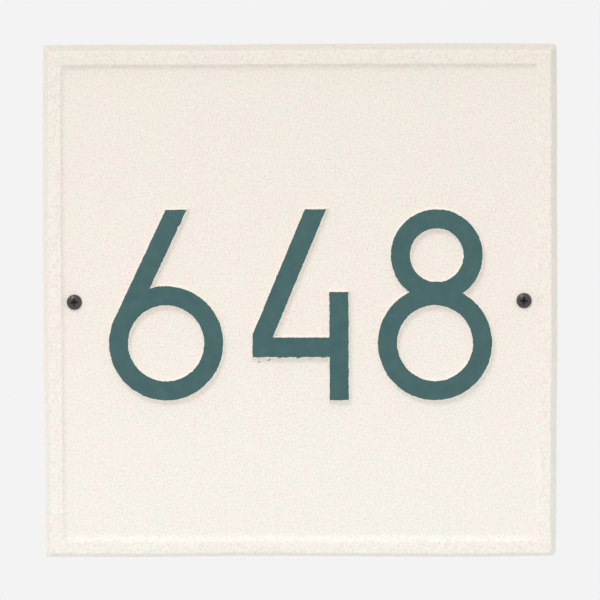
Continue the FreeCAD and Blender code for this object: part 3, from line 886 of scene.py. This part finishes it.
@dataclass
class SandCasting:
    """The casting: drafted outer side, flat border, recess with a soft foot, raised digits with soft roots,
    and a hollow back with a rim and a lug behind each screw. Its outline is as uneven as hand moulding
    left it: the bows say how far the right, top, left and bottom sides lie in, at even steps round the
    plaque from the lower right corner. The outer corners' radii are those of the upper right, upper left,
    lower left and lower right. Insets are measured inwards from the outermost edge."""

    digits: Digits
    shapes: tuple[tuple[Outline, ...], ...]
    half_side: float = 152.5
    border_y: float = -9.5
    panel_y: float = -7.7
    face_y: float = -10.3
    side_run: float = 3.8
    lower_side_run: float = 2.6
    right_side_run: float = 3.4
    border_width: float = 7.8
    wall_run: float = 1.3
    upper_wall_run: float = 2.4
    lower_wall_run: float = 3.5
    side_power: int = 30
    foot: float = 2.8
    outer_corners: tuple[float, float, float, float] = (2.6, 2.0, 1.6, 4.2)
    recess_corner: float = 1.8
    recess_shift: Pair = (0.45, -1.0)
    recess_stretch: float = 0.7
    edge_trim: float = 0.9
    lip_trim: float = 0.5
    foot_trim: float = 1.6
    frame_softness: Unevenness = Unevenness(0.15, 15.0, 0.6, 1.4)
    frame_seed: int = 3
    root_trim: float = 0.5
    root_reach: float = 2.0
    face_strip: float = 0.9
    corner_inset: float = 0.03
    digit_edges: Unevenness = Unevenness(0.2, 3.0, 0.1, 0.5)
    digit_roots: Unevenness = Unevenness(0.25, 9.0, 0.35, 1.7)
    bows: tuple[tuple[float, ...], ...] = (
        (1.2, 0.78, 0.6, 0.11, 0.0, 0.11, 0.15, 0.01, 0.33),
        (0.67, 0.32, 0.24, 0.3, 0.27, 0.57, 0.55, 0.45, 0.65),
        (0.95, 0.5, 0.3, 0.08, 0.24, 0.09, 0.71, 0.79, 0.78),
        (0.02, 0.0, 0.16, 0.6, 0.55, 0.42, 0.0, 0.19, 0.81),
    )
    bow_depth: float = 22.0
    wander: float = 0.04
    wander_wave: float = 14.0
    wander_seed: int = 7
    rim_width: float = 8.0
    hollow_depth: float = 4.2
    core_draft: float = math.radians(5)
    core_cove: float = 1.2
    core_floor: float = 2.0
    lug_half_width: float = 8.0
    screw_x: float = 133.0
    hole_radius: float = 2.65
    hole_parts: int = 40
    hole_levels: int = 3
    step: float = 1.6
    digit_step: float = 0.6
    digit_parts: int = 5
    corner_parts: int = 12

    def frame_round(self) -> tuple[np.ndarray, np.ndarray]:
        """Goes round a square with round corners: its right side and upper right corner, then the same
        turned a quarter, three times.

        Returns:
            Where each point lies between the corner centres, from -1 to 1 in x and z, and its way out.
        """
        count = math.ceil(2 * self.half_side / self.step)
        share = np.linspace(-1, 1, count, endpoint=False)
        angle = np.linspace(0, math.pi / 2, self.corner_parts, endpoint=False)
        side = np.stack([np.ones(count), share], axis=1)
        place = np.concatenate([side, np.ones((self.corner_parts, 2))])
        level = np.stack([np.ones(count), np.zeros(count)], axis=1)
        way = np.concatenate([level, np.stack([np.cos(angle), np.sin(angle)], axis=1)])
        quarter = np.array([[0.0, 1.0], [-1.0, 0.0]])
        turns = [np.linalg.matrix_power(quarter, turn) for turn in range(4)]
        places = np.concatenate([place @ turn for turn in turns])
        return places, np.concatenate([way @ turn for turn in turns])

    def loops(self, section: np.ndarray, corner_radius: np.ndarray) -> np.ndarray:
        """Carries a section round the square.

        A point lies at its place between the corner centres times the half side less inset and radius,
        plus the radius times its way out. The bows then push it in, most at the outermost edge, and the
        recess is shifted and stretched a little, as its pattern was.

        Args:
            section: Inset and y by row and column.
            corner_radius: Radius of the corner at each row and column.

        Returns:
            x, y and z by row and column.
        """
        place, way = self.frame_round()
        half = (self.half_side - section[..., 0] - corner_radius)[..., None]
        flat = place * half + way * corner_radius[..., None]
        count = len(place)
        side = np.linspace(0, count / 4 - self.corner_parts, len(self.bows[0]))
        knots = (np.arange(4)[:, None] * count / 4 + side).ravel()
        push = np.interp(np.arange(count), knots, np.ravel(self.bows), period=count)
        push += self.wander * wavering(count, self.step, self.wander_wave, self.wander_seed)
        push = push.clip(0, None)
        weight = 1 - smoothstep(section[..., 0] / self.bow_depth)
        flat = flat - way * (push * weight)[..., None]
        inner = smoothstep((section[..., 0] - self.side_run) / self.border_width)[..., None]
        flat = flat + inner * (np.array(self.recess_shift) + self.recess_stretch * place)
        return np.stack([flat[..., 0], section[..., 1], flat[..., 1]], axis=-1)

    def front_strip(self) -> np.ndarray:
        """The side, border and wall of the recess: one section carried round the square.

        What differs on one side is added there times a high power of the place, which is 1 along that
        side and falls to nothing round its corners.

        Returns:
            x, y and z by row and column.
        """
        border_inset = self.side_run + self.border_width
        foot_inset = border_inset + self.wall_run
        place, _ = self.frame_round()
        columns = len(place)
        corners = [
            (0.0, 0.0),
            (self.side_run, self.border_y),
            (border_inset, self.border_y),
            (foot_inset, self.panel_y),
            (foot_inset + self.foot, self.panel_y),
        ]
        corners = same_for(columns, corners)
        edge, wall = slice(1, 2), slice(3, None)
        for rows, run, usual, towards in (
            (edge, self.lower_side_run, self.side_run, -place[:, 1]),
            (edge, self.right_side_run, self.side_run, place[:, 0]),
            (wall, self.upper_wall_run, self.wall_run, place[:, 1]),
            (wall, self.lower_wall_run, self.wall_run, -place[:, 1]),
        ):
            corners[rows, :, 0] += (run - usual) * towards.clip(0, 1) ** self.side_power
        trims = np.array([self.edge_trim, self.lip_trim, self.foot_trim])[:, None]
        section = soften(corners, trims * self.frame_softness.of(1, columns, self.step, self.frame_seed))
        upper_right, upper_left, lower_left, lower_right = self.outer_corners
        across, up = (place[:, 0] + 1) / 2, (place[:, 1] + 1) / 2
        upper = upper_left + (upper_right - upper_left) * across
        lower = lower_left + (lower_right - lower_left) * across
        outer = lower + (upper - lower) * up
        inward = smoothstep(section[..., 0] / border_inset)
        return self.loops(section, outer + (self.recess_corner - outer) * inward)

    def digit_strip(self, outline: Outline, seed: int) -> np.ndarray:
        """A digit's edge, drafted side and soft root: one section carried along its outline. The softness
        of edge and root wavers along it.

        Args:
            outline: The edge of the face or of a counter.
            seed: Picks how the softness wavers.

        Returns:
            x, y and z by row and point.
        """
        points, way = outline.sample(self.digit_step)
        relief = self.digits.relief
        root = relief * math.tan(self.digits.draft)
        face = [(-self.face_strip, 0.0), (-self.corner_inset, 0.0)]
        corners = same_for(len(points), [*face, (root, relief), (root + self.root_reach, relief)])
        edge = self.digit_edges.of(self.digits.chamfer, len(points), self.digit_step, seed)
        cove = self.digit_roots.of(self.root_trim, len(points), self.digit_step, seed + 1)
        section = soften(corners, np.stack([edge, cove]), self.digit_parts)
        return carried(points, way, section[..., 0], self.face_y + section[..., 1])

    def hole_strip(self, side: Side) -> np.ndarray:
        """A screw's clearance hole, from the panel through the lug to the back.

        Args:
            side: The screw's side.

        Returns:
            x, y and z by row and angle.
        """
        angle = np.linspace(0, 2 * math.pi, self.hole_parts, endpoint=False)
        levels = np.linspace(self.panel_y, 0, self.hole_levels)[:, None]
        return turned_round((side.value * self.screw_x, 0.0), self.hole_radius, angle, levels)

    def hollow_strip(self) -> np.ndarray:
        """The wall of the hollow back: its outline is the square inside the rim, notched for the lugs. The
        wall leans in by the draft of the core, and its foot is a cove.

        Returns:
            x, y and z by row and point.
        """
        wall = self.half_side - self.rim_width
        lug = self.screw_x - self.lug_half_width
        half = self.lug_half_width
        right = [(wall, -wall), (wall, -half), (lug, -half), (lug, half), (wall, half), (wall, wall)]
        points, way = Outline.through(right + [(-x, -z) for x, z in right]).sample(self.step)
        depth = self.hollow_depth
        lean = depth * math.tan(self.core_draft)
        corners = same_for(len(points), [(0.0, 0.0), (lean, depth), (lean + self.core_floor, depth)])
        section = soften(corners, np.full((1, len(points)), self.core_cove))
        return carried(points, way, -section[..., 0], -section[..., 1])

    def build(self, material: bpy.types.Material) -> bpy.types.Object:
        """Makes the casting: the strips, and the flat faces that are filled between them.

        Args:
            material: The paint.

        Returns:
            The piece.
        """
        surface = Surface()
        front = surface.add_grid(self.front_strip())
        holes = [surface.add_grid(self.hole_strip(side)) for side in Side]
        panel_holes = [hole[0] for hole in holes]
        for number, outlines in enumerate(self.shapes):
            outer, *counters = [
                surface.add_grid(self.digit_strip(outline, 40 * number + 2 * turn))
                for turn, outline in enumerate(outlines)
            ]
            surface.fill(outer[0], [counter[0] for counter in counters])
            panel_holes.append(outer[-1])
            for counter in counters:
                surface.fill(counter[-1])
        surface.fill(front[-1], panel_holes)
        hollow = surface.add_grid(self.hollow_strip())
        surface.fill(hollow[-1])
        surface.fill(front[0], [hollow[0]] + [hole[-1] for hole in holes])
        piece = surface.make("sand_casting", material, 50.0)
        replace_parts(piece, "casting")
        return piece


@dataclass
class MountingScrew:
    """A pan-head wood screw with a cross recess: domed head, plain neck, rolled thread and gimlet point.
    It lies along +Y, with the underside of its head on the panel. Its slack is how far it stands off the
    middle of its hole, and is less than the hole's radius less the neck's."""

    side: Side
    from_middle: float = 133.0
    seat_y: float = -7.7
    head_radius: float = 4.5
    head_height: float = 2.5
    head_chamfer: float = 0.1
    dome_radius: float = 7.4
    dome_parts: int = 34
    edge_radius: float = 1.3
    edge_parts: int = 12
    cross_span: float = 4.6
    cross_wing: float = 1.1
    cross_depth: float = 2.7
    cross_taper: float = 0.12
    cross_end: float = 0.55
    cross_side: float = 0.24
    cross_flare: float = 0.1
    cross_shallow: float = 0.35
    cross_margin: float = 0.5
    neck_radius: float = 2.1
    neck_overlap: float = 0.3
    crest_radius: float = 2.4
    root_radius: float = 1.65
    crest_power: float = 2.2
    pitch: float = 2.1
    tip_y: float = 30.3
    point_length: float = 6.0
    point_core_power: float = 0.8
    point_crest_power: float = 0.45
    shank_parts: int = 230
    turn: float = 0.0
    slack: Pair = (0.0, 0.0)
    around: int = 96

    def head_rows(self) -> tuple[np.ndarray, np.ndarray]:
        """The head's section from its middle to the neck: radius and distance along Y.

        A dome whose circle runs into a smaller circle round the rim, where both have the same slope, then
        straight in under the head.

        Returns:
            The radius and the distance along Y, by row.
        """
        crown = self.seat_y - self.head_height
        rim_middle = self.head_radius - self.edge_radius
        blend = math.asin(rim_middle / (self.dome_radius - self.edge_radius))
        dome = np.linspace(0, blend, self.dome_parts)
        rim = np.linspace(blend, math.pi / 2, self.edge_parts)[1:]
        centre_y = crown + self.dome_radius - (self.dome_radius - self.edge_radius) * math.cos(blend)
        under = [self.head_radius, self.head_radius - self.head_chamfer, self.neck_radius]
        radius = [self.dome_radius * np.sin(dome), rim_middle + self.edge_radius * np.sin(rim), under]
        seat = [self.seat_y - self.head_chamfer, self.seat_y, self.seat_y]
        crowned = crown + self.dome_radius * (1 - np.cos(dome))
        along = [crowned, centre_y - self.edge_radius * np.cos(rim), seat]
        return np.concatenate(radius), np.concatenate(along)

    def recess(self, radius: np.ndarray, angle: np.ndarray) -> np.ndarray:
        """How deep the cross recess is at each place on the head.

        Along each wing the floor falls in a straight slope from the wing's end to a deep middle; across
        it the sides fall steeply. The deeper of the two wings counts.

        Args:
            radius: Distance from the axis, by row.
            angle: Angles round it.

        Returns:
            The depth, by row and angle.
        """
        x, z = radius * np.cos(angle - self.turn), radius * np.sin(angle - self.turn)
        wings = []
        for along, across in ((x, z), (z, x)):
            end = smoothstep((self.cross_span / 2 - np.abs(along)) / self.cross_end)
            width = 0.5 * self.cross_wing * (1.0 - self.cross_taper * np.abs(along) / self.cross_span)
            side = smoothstep((width + self.cross_flare - np.abs(across)) / self.cross_side)
            slope = (1 - np.abs(along) / (self.cross_span / 2)).clip(0, 1)
            wings.append(end * side * (self.cross_shallow + (1 - self.cross_shallow) * slope))
        return self.cross_depth * np.maximum(*wings)

    def shank_rows(self, angle: np.ndarray) -> tuple[np.ndarray, np.ndarray]:
        """The neck, thread and point: radius at each row and angle, and distance along Y.

        The thread's height is a steep-sided wave of (distance over pitch less turns round the axis). It
        grows over the first turn and shrinks with the point, whose core falls to nothing at the tip.

        Args:
            angle: Angles round the axis.

        Returns:
            The radius and the distance along Y, by row and angle.
        """
        along = np.linspace(self.seat_y + self.neck_overlap, self.tip_y, self.shank_parts)[:, None]
        wave = 0.5 + 0.5 * np.cos(2 * math.pi * (along / self.pitch - angle / (2 * math.pi)))
        point = ((self.tip_y - along) / self.point_length).clip(0, 1)
        start = smoothstep(along / self.pitch)
        core = self.neck_radius + (self.root_radius - self.neck_radius) * start
        height = (self.crest_radius - self.root_radius) * start * wave**self.crest_power
        radius = core * point**self.point_core_power + height * point**self.point_crest_power
        return radius, along + 0 * angle

    def build(self, material: bpy.types.Material) -> bpy.types.Object:
        """Turns the whole section round the screw's axis, as one grid that closes at both poles.

        Args:
            material: The steel.

        Returns:
            The piece.
        """
        angle = np.linspace(0, 2 * math.pi, self.around, endpoint=False)[None, :]
        head_radius, head_along = (row[:, None] for row in self.head_rows())
        on_dome = head_along < self.seat_y - self.cross_margin
        dome = head_along + self.recess(head_radius, angle) * on_dome
        shank_radius, shank_along = self.shank_rows(angle)
        radius = np.vstack([head_radius + 0 * angle, shank_radius])
        middle = (self.side.value * self.from_middle + self.slack[0], self.slack[1])
        surface = Surface()
        surface.add_grid(turned_round(middle, radius, angle, np.vstack([dome, shank_along])))
        return surface.make(f"cross_recess_screw_{self.side.name.lower()}", material, 32.0)


def direction(right: float, up: float) -> Vector:
    """Sine times cosine, minus cosine times cosine, and sine, of radians to the right and up."""
    return Vector((math.sin(right) * math.cos(up), -math.cos(right) * math.cos(up), math.sin(up)))


@dataclass(frozen=True)
class Lamp:
    """A round soft lamp that is aimed at the plaque's middle. Its level is how brightly it lights a white
    card that faces it there."""

    name: str
    level: float
    across: float
    distance: float
    left: float
    up: float

    def hang(self) -> None:
        """Hangs the lamp. Its watts are the level times pi squared times the distance squared."""
        way = direction(-self.left, self.up)
        lamp = bpy.data.lights.new(self.name, "AREA")
        lamp.shape = "DISK"
        lamp.size = self.across * MM
        lamp.energy = self.level * (math.pi * self.distance * MM) ** 2
        holder = put_in_scene(self.name, lamp)
        holder.location = way * self.distance * MM
        holder.rotation_euler = way.to_track_quat("Z", "Y").to_euler()
        log.info("%s: %.2f W", self.name, lamp.energy)


@dataclass
class Studio:
    """The plain studio: soft light from all round, a large soft lamp high on the left, a pale floor well
    under the plaque, and the camera where the photograph was taken from."""

    backdrop: str = "f3f3f3"
    bounce: str = "f7fffb"
    front_level: float = 0.91
    front_rise: float = 0.25
    front_lean: float = 0.03
    back_level: float = 1.1
    back_fall: float = 1.0
    edge_blend: float = 0.1
    key_lamp: Lamp = Lamp("key_lamp", 0.235, 1300.0, 4000.0, math.radians(30), math.radians(46))
    floor_drop: float = 520.0
    floor_side: float = 6000.0
    floor_roughness: float = 0.9
    floor_glow: float = 0.18
    camera_right: float = math.radians(2.0)
    camera_up: float = math.radians(3.22)
    camera_distance: float = 3507.0
    camera_roll: float = math.radians(-0.21)
    camera_sensor: float = 36.0
    camera_sight_m: float = 100.0
    focal_px: float = 5915.0
    middle_px: Pair = (299.97, 300.82)

    def light_surround(self) -> None:
        """Lights the plaque from all round, and shows the backdrop's colour to the camera and in gloss.

        In front the light grows a little upwards and to the left. Behind, where only the plaque's outer
        sides and back see it, it falls off upwards, as above a pale table. On a world, Generated is the
        direction of the ray.
        """
        world = bpy.data.worlds.new("studio")
        world.use_nodes = True
        bpy.context.scene.world = world
        tree = world.node_tree
        tree.nodes.clear()
        place = add_node(tree, "TexCoord", {}).outputs["Generated"]
        way = add_node(tree, "SeparateXYZ", {"Vector": place}).outputs
        blend = {"Value": way["Y"], "From Min": -self.edge_blend, "From Max": self.edge_blend}
        behind = add_node(tree, "MapRange", blend, interpolation_type="SMOOTHSTEP")
        sums = {"operation": "MULTIPLY_ADD"}
        side = add_node(tree, "Math", {0: way["X"], 1: -self.front_lean, 2: self.front_level}, **sums)
        sky = add_node(tree, "Math", {0: way["Z"], 1: self.front_rise, 2: side}, **sums)
        table = add_node(tree, "Math", {0: way["Z"], 1: -self.back_fall, 2: self.back_level}, **sums)
        level = add_node(tree, "Mix", dict(zip(NUMBER_MIX, (behind, sky, table))), data_type="FLOAT")
        tint = add_node(tree, "ValToRGB", {"Fac": behind}, ((0.0, "ffffff"), (1.0, self.bounce)))
        soft = add_node(tree, "Background", {"Color": tint, "Strength": level})
        shown = add_node(tree, "Background", {"Color": linear(self.backdrop), "Strength": 1.0})
        path = add_node(tree, "LightPath", {}).outputs
        seen = path["Is Camera Ray"]
        for ray in ("Is Glossy Ray", "Is Transmission Ray"):
            seen = add_node(tree, "Math", {0: seen, 1: path[ray]}, operation="MAXIMUM")
        mix = add_node(tree, "MixShader", {0: seen, 1: soft, 2: shown})
        add_node(tree, "OutputWorld", {"Surface": mix})

    def lay_floor(self) -> None:
        """Lays the pale matt floor. It glows a little, as a lit table does, and still shows the plaque's
        shadow."""
        side, height = self.floor_side * MM / 2, -self.floor_drop * MM
        mesh = bpy.data.meshes.new("floor")
        corners = [(x, y, height) for x, y in ((-side, -side), (side, -side), (side, side), (-side, side))]
        mesh.from_pydata(corners, [], [(0, 1, 2, 3)])
        material, tree = empty_material("pale_matt_floor")
        colour = linear(self.backdrop)
        matt = add_node(tree, "BsdfDiffuse", {"Color": colour, "Roughness": self.floor_roughness})
        glow = add_node(tree, "Emission", {"Color": colour, "Strength": self.floor_glow})
        both = add_node(tree, "AddShader", {0: matt, 1: glow})
        add_node(tree, "OutputMaterial", {"Surface": both})
        mesh.materials.append(material)
        put_in_scene("floor", mesh)

    def place_camera(self) -> None:
        """Places the camera: in front, a little right and above, aimed at the plaque's middle, with the
        small roll and shift that the photograph's framing has."""
        back = direction(self.camera_right, self.camera_up)
        level_right = Vector((math.cos(self.camera_right), math.sin(self.camera_right), 0.0))
        level_up = back.cross(level_right)
        right = level_right * math.cos(self.camera_roll) + level_up * math.sin(self.camera_roll)
        camera = bpy.data.cameras.new("camera")
        camera.sensor_width = self.camera_sensor
        camera.lens = self.focal_px / PHOTO_SIDE * camera.sensor_width
        camera.shift_x = (PHOTO_SIDE / 2 - self.middle_px[0]) / PHOTO_SIDE
        camera.shift_y = (self.middle_px[1] - PHOTO_SIDE / 2) / PHOTO_SIDE
        camera.clip_end = self.camera_sight_m
        holder = put_in_scene("camera", camera)
        turn = Matrix((right, back.cross(right), back)).transposed().to_4x4()
        holder.matrix_world = Matrix.Translation(back * self.camera_distance * MM) @ turn
        bpy.context.scene.camera = holder

    def build(self) -> None:
        """Sets up light, floor and camera."""
        self.light_surround()
        self.key_lamp.hang()
        self.lay_floor()
        self.place_camera()
        bpy.context.scene.view_settings.view_transform = "Standard"


SPOTS = {
    "six": (Spot(-70.6, 44.6, 0.8, -0.55), Spot(-69.8, 46.6, 1.2, 0.3)),
    "four": (
        Spot(-11.4, -33.2, 1.0, 0.55),
        Spot(-7.9, -33.2, 0.9, 0.5),
        Spot(-0.8, -33.2, 1.3, 0.65),
        Spot(14.0, -33.2, 1.2, 0.5),
    ),
    "eight": (Spot(80.9, 12.2, 1.5, 0.4),),
}
DROPS = {
    "four": (
        Spot(-24.2, -35.8, 0.4, 0.1),
        Spot(-18.5, -34.9, 0.42, 0.1),
        Spot(-17.6, -34.4, 0.32, 0.1),
        Spot(6.2, -34.3, 0.28, 0.1),
        Spot(7.2, -41.2, 0.22, 0.1),
    ),
}


@dataclass
class Plaque:
    """The whole plaque: the casting in its paint, the enamel on its digits, and the screws."""

    digits: Digits

    def build(self) -> None:
        """Builds and dresses the casting, coats the digits and sets the screws."""
        paint, enamel, steel = TexturedPaint().build(), BrushedEnamel().build(), BlackedSteel().build()
        shapes = {"six": self.digits.six(), "four": self.digits.four(), "eight": self.digits.eight()}
        casting = SandCasting(self.digits, tuple(shapes.values()))
        casting.build(paint)
        for number, (name, outlines) in enumerate(shapes.items(), start=1):
            marks = {"spots": SPOTS[name], "drops": DROPS.get(name, ())}
            node, seed = f"enamel_{name}", number * 100
            EnamelCoat(node, outlines, self.digits, casting.face_y, seed, **marks).build(enamel)
        screws = (
            MountingScrew(Side.LEFT, turn=math.radians(4), slack=(-0.45, -0.2)),
            MountingScrew(Side.RIGHT, turn=math.radians(-3), slack=(-0.25, 0.35)),
        )
        for screw in screws:
            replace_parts(screw.build(steel), "mounting_screws")


def main() -> None:
    """Builds the plaque's pieces, then its light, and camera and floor."""
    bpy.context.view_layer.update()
    Plaque(Digits()).build()
    Studio().build()
    bpy.context.view_layer.update()


if __name__ == "__main__":
    logging.basicConfig(level=logging.INFO, format="%(name)s %(message)s")
    main()
